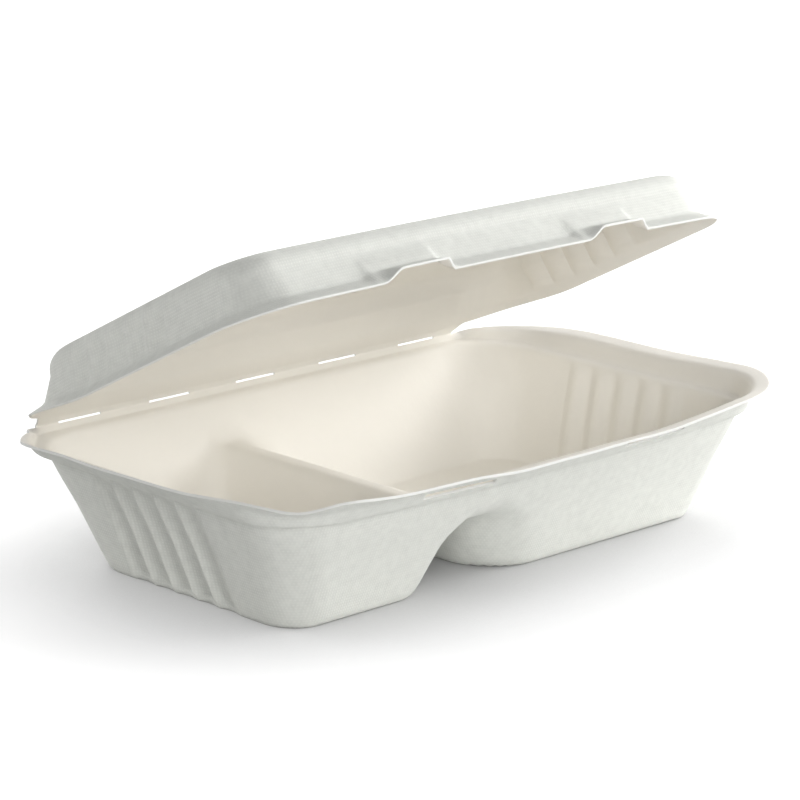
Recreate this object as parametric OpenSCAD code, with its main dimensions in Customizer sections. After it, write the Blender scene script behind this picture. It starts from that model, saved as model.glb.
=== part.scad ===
// Two-compartment clamshell container pressed from plant-fibre pulp.
// The frame: X along the container, Y from the front edge towards the hinge, Z up,
// with the origin on the underside of the floor, at the middle of the floor.
// Each half is one thin skin. It is laid out as nested rings, from the edge of the rim
// inwards to the flat floor (or the flat top panel), and is closed by its own thickness.

/* [Tray plan] */
// Length over the two ends of the rim
rim_length = 233; // [224:1:242]
// From the middle of the floor to the front edge of the rim
front_reach = 78.1; // [76:0.1:82]
// From the middle of the floor to the hinge line
hinge_reach = 73.7; // [72.5:0.1:76]
// Corner radius of the outer edge of the rim
rim_radius = 34; // [31:0.5:36]
// How far the front edge bows out between its corners
front_bow = 8; // [4:0.5:10]
// Length of the flat floor
floor_length = 183.2; // [178:0.2:188]
// Depth of the flat floor, front to back
floor_depth = 96.7; // [92:0.1:101]
// Corner radius of the floor
floor_radius = 14; // [11:0.5:17]

/* [Tray section] */
// Thickness of the pressed pulp, the same everywhere
skin = 0.8; // [0.6:0.05:1.1]
// Height of the outer edge of the rim
rim_height = 44.2; // [43:0.1:46]
// Width of the flat flange around the rim
flange_width = 5.2; // [4:0.1:6]
// How much lower the inner side of the flange lies than its outer edge
flange_tilt = 0.5; // [0:0.1:1.2]
// How far the collar under the flange leans outwards
collar_flare = 4.4; // [3.4:0.1:5.2]
// Height of the underside of the ledge that carries the lid
ledge_height = 37.2; // [36.6:0.1:37.8]
// Width of that ledge
ledge_width = 3; // [2.2:0.1:4]
// How far the rim falls towards its back corners
back_fall = 2.2; // [1.4:0.1:3]
// How far the right front corner of the rim has warped upwards
corner_lift = 1.6; // [0:0.1:2]

/* [Divider] */
// Position of the divider along the tray
divider_at = -25.5; // [-34:0.5:-18]
// Height of its rounded top, underside
divider_height = 25.7; // [20:0.1:29]
// Half width at the floor
divider_half_width = 14.3; // [12:0.1:17]
// Sideways run of one flank over the full height of the wall
divider_run = 10.5; // [8:0.1:13]
// Plan radius where the divider meets the front and back walls
divider_blend = 15; // [11:0.5:18]

/* [Flutes] */
// Flutes in each end wall
flute_count = 5; // [3:1:5]
// Spacing of the flutes on the tray's left end
flute_pitch = 10; // [8:0.1:10.6]
// Spacing of the flutes on the tray's right end
right_flute_pitch = 10.9; // [8:0.1:11.1]
// Middle of the flutes on the tray's left end at the floor, towards the hinge
flute_at = 1.5; // [-2:0.5:3]
// Middle of the flutes on the tray's right end at the floor, towards the hinge
right_flute_at = -6.5; // [-6.5:0.5:0]
// Spacing of the flutes on the lid
lid_flute_pitch = 10.5; // [9:0.1:11]
// Middle of the flutes on the lid, towards the hinge
lid_flute_at = 9.5; // [0:0.5:11]
// How deep a flute is pressed in
flute_depth = 1.4; // [0.8:0.1:1.8]
// How far the flutes of the tray lean towards the hinge over its height
flute_lean = 5; // [0:0.5:6]

/* [Hinge] */
// Height of the hinge line
hinge_height = 39.75; // [39.4:0.05:40.2]
// Free distance from the hinge line to the edge of each half
hinge_gap = 0.75; // [0.75:0.01:0.8]
// Slope of the tray's side of the fold
tray_fold_slope = 48; // [44:1:54]
// Slope of the lid's side of the fold
lid_fold_slope = 34; // [30:1:40]
// Half length of the straight fold on the tray
tray_fold_half = 95; // [94:0.5:96.5]
// How much shorter the fold is at each end of the lid
lid_fold_relief = 4; // [3:0.5:6]
// Slots punched along the fold
hinge_slots = 5; // [3:1:5]
// Spacing of those slots
hinge_slot_pitch = 37.25; // [30:0.25:38]
// Length of one slot
hinge_slot_length = 17.1; // [10:0.1:22]
// Width of one slot across the fold
hinge_slot_width = 2; // [1.8:0.1:3]

/* [Lid] */
// How far the lid stands open in the rest pose, degrees
open_angle = 26.7; // [0:0.1:60]
// Height of the lid's top panel over the tray's resting plane, closed
closed_height = 58; // [54:0.5:64]
// Free distance between the lid's edge and the inside of the collar
lid_edge_gap = 0.7; // [0.5:0.05:1.4]
// Free height between the ledge and the lid's edge
lid_rest_gap = 0.3; // [0.3:0.05:0.6]
// Width of the sloping flange around the lid
lid_flange_width = 4.8; // [4:0.1:6]
// How far that flange rises towards the lid's wall
lid_flange_rise = 3; // [2.2:0.1:3.6]
// How far the lid's edge rises towards its back corners
lid_back_rise = 3; // [1:0.1:4]
// Lean of the lid's end walls
lid_end_run = 1.8; // [1:0.1:3]
// Lean of the lid's front wall
lid_front_run = 4.6; // [3:0.1:6]
// Lean of the lid's back wall
lid_back_run = 9; // [6:0.1:10]
// Radius of the rounded shoulder under the top panel
shoulder_radius = 7; // [5:0.5:8]
// How much rounder the lid's front corners are than the collar around them
lid_corner_relief = 1.2; // [1:0.1:2.5]

/* [Lid tabs and tray slots] */
// Distance between the two locking tabs, centre to centre
tab_spacing = 86; // [80:0.5:92]
// Length of one tab with its two slopes
tab_length = 28; // [22:0.5:32]
// Length of the slope at the left end of a tab
tab_ramp = 8; // [5:0.5:9]
// How far a tab stands above the rest of the lid's edge
tab_rise = 3.4; // [2.6:0.1:4]
// How far the root of a tab stands above the rest of the flange's root
tab_root_rise = 1.7; // [1:0.1:2]
// How far a tab reaches out beyond the rest of the lid's edge
tab_reach = 1.2; // [0.6:0.1:1.5]
// Height of the middle of the slots in the collar
lock_slot_height = 40.4; // [40.2:0.1:40.8]
// Height of one slot
lock_slot_gap = 1.6; // [1.2:0.1:1.9]
// Extra length of a slot over its tab
lock_slot_play = 1; // [0:0.5:4]

/* [Hidden] */

pulp_tray = [0.93, 0.93, 0.89];
pulp_lid = [0.9, 0.91, 0.87];

// Smooth helpers
function ease(t) = let (u = max(0, min(1, t))) u * u * (3 - 2 * u);
function mix(a, b, w) = a + (b - a) * w;
function soft_max(a, b, k) = let (h = max(k - abs(a - b), 0) / k) max(a, b) + h * h * k / 4;
function soft_min(a, b, k) = let (h = max(k - abs(a - b), 0) / k) min(a, b) - h * h * k / 4;
function spread(first, last, steps) = [for (k = [0 : steps]) mix(first, last, k / steps)];
function joined(lists) = [for (l = lists) for (v = l) v];

// A ring is a rounded rectangle seen from above, kept as
// [half length, front, back, front corner radius, back corner radius, front bow, end bow]
function mix_ring(p, q, w) = [for (k = [0 : 6]) mix(p[k], q[k], w)];
function inset_ring(p, d) = [p[0] - d, p[1] + d, p[2] - d, p[3] - d, p[4] - d, p[5], p[6]];

// The grid of a half has columns along X and rows along Y. The outer columns and rows are
// shared by the rings, and their corner arcs share the steps up to the first inner column.
function level(k, count, last) = min(k, count - 1 - k, last);

// Point of ring r at column i and row j, where the ring is number m and the corner arcs
// end at column and row number last
function on_ring(r, m, i, j, xs, ys, last) = let (
    ni = len(xs),
    nj = len(ys),
    sx = i < ni / 2 ? -1 : 1,
    sy = j < nj / 2 ? -1 : 1,
    li = level(i, ni, last),
    lj = level(j, nj, last),
    rad = sy < 0 ? r[3] : r[4],
    edge = sy < 0 ? r[1] : r[2],
    turn = li == m ? 45 * (last - lj) / (last - m) : 90 - 45 * (last - li) / (last - m),
    side = j > last && j < nj - 1 - last,
    face = i > last && i < ni - 1 - last
)
    side ? [sx * r[0], ys[j]]
    : face ? [xs[i], edge]
    : [sx * (r[0] - rad + rad * cos(turn)), edge + sy * rad * (sin(turn) - 1)];

// The front of a ring bows out, and so do its ends a little
bow_start = 26;
function bowed(p, r) = let (
    w = ease((-p[1] - bow_start) / (-r[1] - bow_start)),
    q = p[0] / r[0]
)
    [p[0] - r[6] * sign(p[0]) * pow(p[1] / 75, 2) * min(1, pow(q, 4)), p[1] + r[5] * q * q * w];

// Skin over a grid of points: `up` of its thickness above them and `down` below
function cell_normal(p, i, j) = let (
    n = cross(p[i + 1][j + 1] - p[i][j], p[i][j + 1] - p[i + 1][j])
)
    n / norm(n);
function node_shift(p, i, j) = let (
    ni = len(p),
    nj = len(p[0]),
    cells = [
        for (a = [max(0, i - 1) : min(ni - 2, i)])
            for (b = [max(0, j - 1) : min(nj - 2, j)])
                cell_normal(p, a, b)
    ],
    total = [for (v = cells) 1] * cells,
    size = norm(total)
)
    total / size * min(1.3, len(cells) / size);

module skin_over(p, up, down) {
    ni = len(p);
    nj = len(p[0]);
    count = ni * nj;
    shift = [for (i = [0 : ni - 1]) [for (j = [0 : nj - 1]) node_shift(p, i, j)]];
    above = [for (i = [0 : ni - 1]) for (j = [0 : nj - 1]) p[i][j] + up * shift[i][j]];
    below = [for (i = [0 : ni - 1]) for (j = [0 : nj - 1]) p[i][j] - down * shift[i][j]];
    border = joined([
        [for (i = [0 : ni - 2]) [i * nj, (i + 1) * nj]],
        [for (j = [0 : nj - 2]) [(ni - 1) * nj + j, (ni - 1) * nj + j + 1]],
        [for (i = [ni - 1 : -1 : 1]) [i * nj + nj - 1, (i - 1) * nj + nj - 1]],
        [for (j = [nj - 1 : -1 : 1]) [j, j - 1]]
    ]);
    faces = joined([
        for (i = [0 : ni - 2])
            for (j = [0 : nj - 2])
                let (
                    a = i * nj + j,
                    b = a + nj,
                    c = b + 1,
                    d = a + 1,
                    falling = (i < ni / 2) == (j < nj / 2)
                )
                    falling
                    ? [[a, d, c], [a, c, b], [count + a, count + b, count + c], [count + a, count + c, count + d]]
                    : [[a, d, b], [d, c, b], [count + a, count + b, count + d], [count + d, count + b, count + c]]
    ]);
    wall = joined([
        for (e = border) [
            [count + e[0], e[0], e[1]],
            [count + e[0], e[1], count + e[1]]
        ]
    ]);
    polyhedron(points = joined([above, below]), faces = joined([faces, wall]), convexity = 8);
}

// One flute: a wide rounded groove between narrow lands, 0 on a land and 1 in the groove
function flute(y, middle, pitch) = let (u = (y - middle) / pitch + flute_count / 2)
    u <= 0.001 || u >= flute_count - 0.001 ? 0 : pow(abs(sin(180 * u)), 0.6);

// The fold: points on the outer side of each half, at distance s from the hinge line
function tray_fold(s) = [
    hinge_reach - s * cos(tray_fold_slope) + skin / 2 * sin(tray_fold_slope),
    hinge_height - s * sin(tray_fold_slope) - skin / 2 * cos(tray_fold_slope)
];
function lid_fold(s) = [
    hinge_reach - s * cos(lid_fold_slope) + skin / 2 * sin(lid_fold_slope),
    hinge_height + s * sin(lid_fold_slope) + skin / 2 * cos(lid_fold_slope)
];

// Tray rings, outermost first
half_rim = rim_length / 2;
wall_height = ledge_height - 0.4;
half_floor = floor_depth / 2;
floor_loop = [floor_length / 2, -half_floor, half_floor, floor_radius, floor_radius, 0, 0];
rim_ring = [half_rim, -front_reach, hinge_reach - 1.2, rim_radius, rim_radius, front_bow, 1.3];
flange_ring = [
    half_rim - flange_width, -front_reach + flange_width, hinge_reach - 2.2,
    rim_radius - 4.5, rim_radius - 7, front_bow - 0.7, 1
];
collar_ring = [
    flange_ring[0] - collar_flare, flange_ring[1] + collar_flare, hinge_reach - 3.2,
    rim_radius - 13, rim_radius - 12, front_bow - 2, 0.7
];
wall_ring = [
    collar_ring[0] - ledge_width, collar_ring[1] + ledge_width, hinge_reach - 5.2,
    rim_radius - 17, rim_radius - 10, front_bow - 2, 0.6
];
floor_edge = 2.4;
wall_shares = [0.82, 0.55, 0.25, 0.06];
edge_ring = inset_ring(floor_loop, floor_edge);
tray_rings = joined([
    [rim_ring, flange_ring, collar_ring, wall_ring],
    [for (w = wall_shares) mix_ring(floor_loop, wall_ring, w)],
    [edge_ring, inset_ring(edge_ring, edge_ring[3] / 2)]
]);
tray_last = 10;
tray_columns = joined([
    [for (k = [0 : tray_last - 1]) 0],
    [-edge_ring[0] + edge_ring[3], divider_at - 32],
    [for (d = [-17.5, -13.5, -10, -6.5, -3, 0, 3, 6.5, 10, 13.5, 17.5]) divider_at + d],
    [divider_at + 44, divider_at + 74, edge_ring[0] - edge_ring[3]],
    [for (k = [0 : tray_last - 1]) 0]
]);
flute_span = flute_count * flute_pitch;
tray_rows = joined([
    [for (k = [0 : tray_last - 1]) 0],
    [edge_ring[1] + edge_ring[3]],
    spread(flute_at - flute_span / 2, flute_at + flute_span / 2, 4 * flute_count),
    [edge_ring[2] - edge_ring[3]],
    [for (k = [0 : tray_last - 1]) 0]
]);

// Height of the inner form of the tray over its plan
function filleted(e1, c1, e2, c2, r) = let (
    t1 = e1 / c1,
    t2 = e2 / c2,
    a = c1 * c1 + c2 * c2,
    b = (e1 + r) * c1 + (e2 + r) * c2,
    c = pow(e1 + r, 2) + pow(e2 + r, 2) - r * r
)
    e1 + r > c1 * t2 && e2 + r > c2 * t1 ? (b - sqrt(max(0, b * b - a * c))) / a : max(t1, t2);
function tray_height(x, y, share) = let (
    run = y < 0 ? -wall_ring[1] - half_floor : wall_ring[2] - half_floor,
    own = share > -9 ? share : (abs(y) - half_floor) / run,
    joint = filleted(own * run, run, divider_half_width - abs(x - divider_at), divider_run, divider_blend),
    ridge = soft_min(wall_height * joint, divider_height, 10)
)
    soft_max(soft_max(wall_height * own, ridge, 8), 0, 4);

// 1 on the rows of the flutes and 0 on the rows of the corners
function inner_row(j) = j > tray_last && j < len(tray_rows) - 1 - tray_last ? 1 : 0;

// Weight of the straight fold along the back of a ring
function fold_weight(x, y, half, taper) = y < 20 ? 0 : 1 - ease((abs(x) - half) / taper);
function rim_level(x, y) = rim_height - skin - back_fall * ease((y - 26) / 45)
    + corner_lift * ease((x - 40) / 50) * ease((-y - 10) / 45);
function tray_point(i, j) = let (
    m = min(level(i, len(tray_columns), tray_last), level(j, len(tray_rows), tray_last)),
    r = tray_rings[min(m, tray_last - 1)],
    share = m == 3 ? 1 : m > 3 && m < 8 ? wall_shares[m - 4] : -10,
    flat = m == tray_last ? [tray_columns[i], tray_rows[j]]
        : bowed(on_ring(r, m, i, j, tray_columns, tray_rows, tray_last), r),
    side = m < tray_last && j > tray_last && j < len(tray_rows) - 1 - tray_last,
    groove = side && share > 0 ? flute(tray_rows[j], flute_at, flute_pitch)
        * ease((share - 0.02) / 0.12) * ease((0.99 - share) / 0.16) : 0,
    x = flat[0] - sign(flat[0]) * flute_depth * groove,
    lean = side ? flute_lean * (m < 4 ? 1 : max(0, share)) : 0,
    spaced = (right_flute_pitch / flute_pitch - 1) * (tray_rows[j] - flute_at) + right_flute_at - flute_at,
    y = flat[1] + lean + (side || m == tray_last ? spaced * ease((flat[0] + 60) / 120) : 0) * inner_row(j),
    w0 = fold_weight(x, y, tray_fold_half, 4.5),
    w1 = fold_weight(x, y, tray_fold_half - 9, 14)
)
    m == 0 ? [x, mix(y, tray_fold(hinge_gap)[0], w0), mix(rim_level(x, y), tray_fold(hinge_gap)[1], w0)]
    : m == 1 ? [x, mix(y, tray_fold(1.9)[0], w1), mix(rim_level(x, y) - flange_tilt, tray_fold(1.9)[1], w0)]
    : m == 2 ? [x, mix(y, tray_fold(3.2)[0], w1), mix(ledge_height, tray_fold(3.2)[1], w1)]
    : m == 3 ? [x, y, wall_height]
    : [x, y, tray_height(x, y, share)];

// Lid rings in the closed pose, outermost first
collar_lean = collar_flare / (rim_height - skin - flange_tilt - ledge_height);
lid_edge_level = ledge_height + skin + lid_rest_gap + skin;
lid_inset = skin * sqrt(1 + collar_lean * collar_lean)
    - collar_lean * (lid_edge_level - ledge_height) + lid_edge_gap;
lid_ring = [for (k = [0 : 6]) inset_ring(collar_ring, lid_inset)[k] + (k == 3 ? lid_corner_relief : 0)];
root_ring = inset_ring(lid_ring, lid_flange_width);
root_level = lid_edge_level + lid_flange_rise;
shoulder_level = closed_height - shoulder_radius;
function leaned(r, share) = [
    r[0] - lid_end_run * share, r[1] + lid_front_run * share, r[2] - lid_back_run * share,
    r[3] - 3 * share, r[4] - 3 * share, r[5] - 2.5 * share, r[6]
];
shoulder_ring = leaned(root_ring, 1);
function rounded_in(r, turn) = let (
    d = shoulder_radius * (1 - cos(turn)),
    corner = r[3] - 1 * (1 - cos(turn))
)
    [r[0] - 0.62 * d, r[1] + d, r[2] - d, corner, corner, r[5] - 1 * (1 - cos(turn)), 0];
lid_rings_outer = [
    lid_ring,
    root_ring,
    leaned(root_ring, 0.2),
    shoulder_ring,
    rounded_in(shoulder_ring, 50),
    rounded_in(shoulder_ring, 90)
];
panel_ring = lid_rings_outer[5];
panel_radius = panel_ring[3];
lid_rings = joined([
    lid_rings_outer,
    [inset_ring([for (k = [0 : 6]) k < 5 ? panel_ring[k] : panel_ring[k] / 2], panel_radius / 2)]
]);
lid_levels = [
    lid_edge_level,
    root_level,
    mix(root_level, shoulder_level, 0.2),
    shoulder_level,
    shoulder_level + shoulder_radius * sin(50),
    closed_height,
    closed_height
];
lid_last = 7;
half_tab = tab_length / 2;
tab_at = tab_spacing / 2;
tab_end = 2.5;
tab_lead = 4;
tab_steps = [
    -half_tab - tab_lead, -half_tab, -half_tab + tab_ramp / 2, -half_tab + tab_ramp,
    half_tab - tab_end, half_tab
];
lid_columns = joined([
    [for (k = [0 : lid_last - 1]) 0],
    [-panel_ring[0] + panel_radius],
    [for (d = tab_steps) d - tab_at],
    [0],
    [for (d = tab_steps) d + tab_at],
    [panel_ring[0] - panel_radius],
    [for (k = [0 : lid_last - 1]) 0]
]);
lid_flute_span = flute_count * lid_flute_pitch;
lid_rows = joined([
    [for (k = [0 : lid_last - 1]) 0],
    [panel_ring[1] + panel_radius],
    spread(lid_flute_at - lid_flute_span / 2, lid_flute_at + lid_flute_span / 2, 4 * flute_count),
    [panel_ring[2] - panel_radius],
    [for (k = [0 : lid_last - 1]) 0]
]);
// 1 along a tab and 0 away from it, with a long slope on its left and a short one on its right.
// The root of the tab rises a little before the tab itself.
function tab_weight(x, y) = y > -30 ? 0 : max([
    for (s = [-1, 1])
        let (d = x - s * tab_at) d < 0 ? ease((d + half_tab) / tab_ramp) : ease((half_tab - d) / tab_end)
]);
function tab_root_weight(x, y) = y > -30 ? 0 : max([
    for (s = [-1, 1])
        let (d = x - s * tab_at)
            d < 0 ? ease((d + half_tab + tab_lead) / tab_lead) : ease((half_tab - d) / tab_end)
]);
lid_groove = [0, 0.3, 1, 1, 0.45, 0];
function lid_point(i, j) = let (
    m = min(level(i, len(lid_columns), lid_last), level(j, len(lid_rows), lid_last)),
    r = lid_rings[min(m, lid_last - 1)],
    flat = m == lid_last ? [lid_columns[i], lid_rows[j]]
        : bowed(on_ring(r, m, i, j, lid_columns, lid_rows, lid_last), r),
    side = m < 6 && j > lid_last && j < len(lid_rows) - 1 - lid_last,
    groove = side ? flute(lid_rows[j], lid_flute_at, lid_flute_pitch) * lid_groove[m] : 0,
    x = flat[0] - sign(flat[0]) * flute_depth * groove,
    y = flat[1],
    half = tray_fold_half - lid_fold_relief,
    w0 = fold_weight(x, y, half, 3.5),
    w1 = fold_weight(x, y, half - 8, 11),
    rise = lid_back_rise * ease((y - 22) / 42),
    tab = tab_weight(x, y),
    root = tab_root_rise * tab_root_weight(x, y)
)
    m == 0 ? [
        x,
        mix(y, lid_fold(hinge_gap)[0], w0) - tab_reach * tab,
        mix(lid_edge_level + rise, lid_fold(hinge_gap)[1], w0) + tab_rise * tab
    ]
    : m == 1 ? [x, mix(y, lid_fold(2.8)[0], w1), mix(root_level + 0.5 * rise, lid_fold(2.8)[1], w1) + root]
    : m == 2 ? [x, y, lid_levels[m] + 0.7 * root]
    : m < lid_last ? [x, y, lid_levels[m]]
    : [x, y, closed_height];

// Slots punched along the fold of one half
module fold_slots(slope) {
    for (k = [0 : hinge_slots - 1])
        translate([(k - (hinge_slots - 1) / 2) * hinge_slot_pitch, hinge_reach, hinge_height])
            rotate([slope, 0, 0])
                cube([hinge_slot_length, hinge_slot_width, 4 * skin], center = true);
}

// Slots in the collar that take the lid's tabs
module lock_slots() {
    for (s = [-1, 1])
        translate([s * tab_at, collar_ring[1] - 1, lock_slot_height])
            cube([tab_length + lock_slot_play, 12, lock_slot_gap], center = true);
}

module base_tray() {
    points = [for (i = [0 : len(tray_columns) - 1]) [for (j = [0 : len(tray_rows) - 1]) tray_point(i, j)]];
    color(pulp_tray)
        difference() {
            skin_over(points, skin, 0);
            lock_slots();
            fold_slots(tray_fold_slope);
        }
}

module lid() {
    points = [for (i = [0 : len(lid_columns) - 1]) [for (j = [0 : len(lid_rows) - 1]) lid_point(i, j)]];
    color(pulp_lid)
        translate([0, hinge_reach, hinge_height])
            rotate([-open_angle, 0, 0])
                translate([0, -hinge_reach, -hinge_height])
                    difference() {
                        skin_over(points, 0, skin);
                        fold_slots(-lid_fold_slope);
                    }
}

base_tray();
lid();
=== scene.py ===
"""Two-compartment clamshell container of pressed plant-fibre pulp, standing open on a white table.

Sizes are millimetres in the section code below and metres in the panel and in the meshes.
Each half is one skin: nested rings run from the edge of the rim inwards, past the flange, the
collar and the ledge, down the wall and on to the flat floor or the flat top panel.
"""
import math

import bpy
import numpy as np
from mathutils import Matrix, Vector


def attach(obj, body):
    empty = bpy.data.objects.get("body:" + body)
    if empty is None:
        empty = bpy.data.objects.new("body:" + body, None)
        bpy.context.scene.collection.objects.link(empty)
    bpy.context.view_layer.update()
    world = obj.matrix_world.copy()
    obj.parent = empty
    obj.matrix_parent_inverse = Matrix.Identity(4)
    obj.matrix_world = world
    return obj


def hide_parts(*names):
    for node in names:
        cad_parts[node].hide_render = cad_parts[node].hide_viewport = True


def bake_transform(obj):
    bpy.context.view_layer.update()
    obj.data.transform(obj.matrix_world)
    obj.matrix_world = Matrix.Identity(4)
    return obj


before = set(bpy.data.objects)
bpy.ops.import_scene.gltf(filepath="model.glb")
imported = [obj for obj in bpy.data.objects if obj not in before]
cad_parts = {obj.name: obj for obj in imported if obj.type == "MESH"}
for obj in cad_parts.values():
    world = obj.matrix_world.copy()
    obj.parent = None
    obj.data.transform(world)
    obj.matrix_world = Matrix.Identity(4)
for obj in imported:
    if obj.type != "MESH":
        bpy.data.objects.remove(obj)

bl_info = {
    "name": "Pressed Pulp Clamshell",
    "version": (1, 0, 0),
    "blender": (4, 5, 0),
    "location": "View3D > Sidebar > Clamshell",
    "description": "Tray, lid and fold of a clamshell container pressed from plant fibre",
    "category": "Add Mesh",
}

MM = 0.001

# Sections of both halves, millimetres
SKIN = 0.8
HINGE_REACH = 73.7
HINGE_HEIGHT = 39.75
RIM_HEIGHT = 44.2
LEDGE_HEIGHT = 37.2
WALL_HEIGHT = LEDGE_HEIGHT - 0.4
FLANGE_TILT = 0.9
LEFT_SAG = 0.9
ROOT_LIFT_SHARE = 0.3
CLOSED_HEIGHT = 58.0

# A ring: half length, front, back, front corner radius, back corner radius, front bow, end bow
FLOOR_LOOP = np.array([91.6, -48.35, 48.35, 14, 14, 0, 0], float)
RIM_RING = np.array([116.5, -78.1, 72.5, 34, 34, 8, 1.3])
FLANGE_RING = np.array([111.3, -72.9, 71.5, 29.5, 27, 7.3, 1])
COLLAR_RING = np.array([106.9, -68.5, 70.5, 21, 22, 6, 0.7])
WALL_RING = np.array([103.9, -65.5, 68.5, 17, 24, 6, 0.6])
FLOOR_EDGE = 2.4

# The divider: where its middle is, its height, and for its left and right flank
# the foot, the sideways run and the plan radius at the walls
DIVIDER_AT = -25.5
DIVIDER_HEIGHT = 24.5
DIVIDER_FOOT = (-36.4, -9.1)
DIVIDER_RUN = (10.5, 15.0)
DIVIDER_BLEND = (9.0, 19.0)

FLUTES = 5
FLUTE_PITCH = 10.0
RIGHT_FLUTE_PITCH = 10.9
FLUTE_AT = 1.5
RIGHT_FLUTE_AT = -6.5
FLUTE_LEAN = 5.0
FLUTE_LAND = 0.16
LEFT_FLUTE_DEPTH = 2.3
RIGHT_FLUTE_DEPTH = 1.5
LID_FLUTE_PITCH = 10.5
LID_FLUTE_AT = 9.5
LID_FLUTE_DEPTH = 1.8
LID_ROOT_GROOVE = 0.3
# Share of the depth that the flutes keep at the floor, and how far they run on under it
FLUTE_FOOT_SHARE = 0.65
FLUTE_FOOT_REACH = 3.6

TRAY_FOLD_SLOPE = math.radians(48)
LID_FOLD_SLOPE = math.radians(34)
TRAY_FOLD_HALF = 95.0
LID_FOLD_HALF = 91.0
# Distances from the hinge line at which the knots of the two sections lie
TRAY_FOLD_KNOTS = (0.62, 1.9, 3.2)
LID_FOLD_KNOTS = (0.62, 2.8)
SLOTS = 5
SLOT_PITCH = 37.25
SLOT_LENGTH = 17.1
# The lands between the slots: distances from the hinge line of their straight parts, the reach of their
# bend, the length of their faces, and a reach from the hinge line for a start point that the fold step
# works out and doesn't use
LAND_STEPS = (1.7, 1.3, 0.95)
LAND_BEND = 0.8
LAND_GRID = 1.5
BLEND_REACH = 0.75

TAB_AT = 43.0
TAB_HALF = 14.0
TAB_RAMP = 8.0
TAB_END = 2.5
TAB_LEAD = 4.0
TAB_RISE = 3.4
TAB_ROOT_RISE = 1.7
TAB_REACH = 1.2
LOCK_SLOT_HALF = 14.5

LID_FLANGE_WIDTH = 4.8
LID_FLANGE_RISE = 3.0
LID_BACK_RISE = 3.0
LID_END_RUN = 1.8
LID_FRONT_RUN = 4.6
LID_BACK_RUN = 9.0
LID_INSET = 0.244
LID_CORNER_RELIEF = 1.2
SHOULDER_RADIUS = 7.0


def ease(t):
    """Smooth step from 0 to 1."""
    u = np.clip(t, 0, 1)
    return u * u * (3 - 2 * u)


def mix(a, b, w):
    """From a at weight 0 to b at weight 1."""
    return a + (b - a) * w


def soft_max(a, b, k):
    """The greater of two heights, rounded where they are within k of each other."""
    h = np.maximum(k - np.abs(a - b), 0) / k
    return np.maximum(a, b) + h * h * k / 4


def soft_min(a, b, k):
    """The lesser of two heights, rounded where they are within k of each other."""
    h = np.maximum(k - np.abs(a - b), 0) / k
    return np.minimum(a, b) - h * h * k / 4


def inset_ring(ring, distance):
    """The ring moved inwards by a distance."""
    shift = np.array([-distance, distance, -distance, -distance, -distance, 0, 0])
    return ring + shift


def flute_wave(rows, middle, pitch):
    """Depth share of the flutes: wide round grooves between narrow rounded lands."""
    u = (rows - middle) / pitch + FLUTES / 2
    inside = (u > 0) & (u < FLUTES)
    land = FLUTE_LAND
    wave = np.sqrt(np.sin(np.pi * u) ** 2 + land ** 2) - land
    return np.where(inside, (wave / (math.sqrt(1 + land ** 2) - land)) ** 0.7, 0)


def soft_flute_wave(rows, middle, pitch):
    """Depth share of worn flutes, an even wave."""
    u = (rows - middle) / pitch + FLUTES / 2
    return np.where((u > 0) & (u < FLUTES), 0.5 - 0.5 * np.cos(2 * np.pi * u), 0)


class RingGrid:
    """A sheet of columns and rows whose border strips are rings inside each other."""

    def __init__(self, columns, rows, last):
        self.last = last
        self.ni = len(columns) + 2 * last
        self.nj = len(rows) + 2 * last
        self.xs = np.concatenate([np.zeros(last), columns, np.zeros(last)])
        self.ys = np.concatenate([np.zeros(last), rows, np.zeros(last)])
        self.i, self.j = np.meshgrid(np.arange(self.ni), np.arange(self.nj))
        self.li = np.minimum(np.minimum(self.i, self.ni - 1 - self.i), last)
        self.lj = np.minimum(np.minimum(self.j, self.nj - 1 - self.j), last)
        self.ring = np.minimum(self.li, self.lj)

    def place(self, ring, m):
        """Plan position of the nodes of ring number m on a rounded rectangle."""
        at = self.ring == m
        i, j, li, lj = self.i[at], self.j[at], self.li[at], self.lj[at]
        sx = np.where(i < self.ni / 2, -1.0, 1.0)
        sy = np.where(j < self.nj / 2, -1.0, 1.0)
        radius = np.where(sy < 0, ring[3], ring[4])
        edge = np.where(sy < 0, ring[1], ring[2])
        arc = self.last - m
        first_half = 45 * (self.last - lj) / arc
        second_half = 90 - 45 * (self.last - li) / arc
        turn = np.radians(np.where(li == m, first_half, second_half))
        x = sx * (ring[0] - radius + radius * np.cos(turn))
        y = edge + sy * radius * (np.sin(turn) - 1)
        side = (j > self.last) & (j < self.nj - 1 - self.last)
        face = (i > self.last) & (i < self.ni - 1 - self.last)
        x = np.where(side, sx * ring[0], np.where(face, self.xs[i], x))
        y = np.where(side, self.ys[j], y)
        q = x / ring[0]
        bow = ease((-y - 26) / (-ring[1] - 26))
        x = x - ring[6] * np.sign(x) * (y / 75) ** 2 * np.minimum(1, q ** 4)
        return x, y + ring[5] * q * q * bow, side, j

    def middle(self):
        """Plan position of the nodes inside the last ring."""
        at = self.ring == self.last
        return self.xs[self.i[at]], self.ys[self.j[at]], self.j[at]


def bend_ends(knots, k, reach):
    """Where the rounding of a knot starts and ends; it takes less than half of a short run."""
    a = knots[k - 1] - knots[k]
    b = knots[k + 1] - knots[k]
    length_a = np.linalg.norm(a, axis=0)
    length_b = np.linalg.norm(b, axis=0)
    side = np.minimum(reach, 0.45 * np.minimum(length_a, length_b))
    return knots[k] + a / length_a * side, knots[k] + b / length_b * side


def section_point(knots, station, reaches):
    """Point of a section: on the free run after a knot, or on the rounding of a knot."""
    kind, k, t = station
    if kind == "run":
        start = bend_ends(knots, k, reaches[k])[1] if k else knots[0]
        end = bend_ends(knots, k + 1, reaches[k + 1])[0]
        return mix(start, end, t)
    start, end = bend_ends(knots, k, reaches[k])
    return (1 - t) ** 2 * start + 2 * t * (1 - t) * knots[k] + t * t * end


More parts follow.
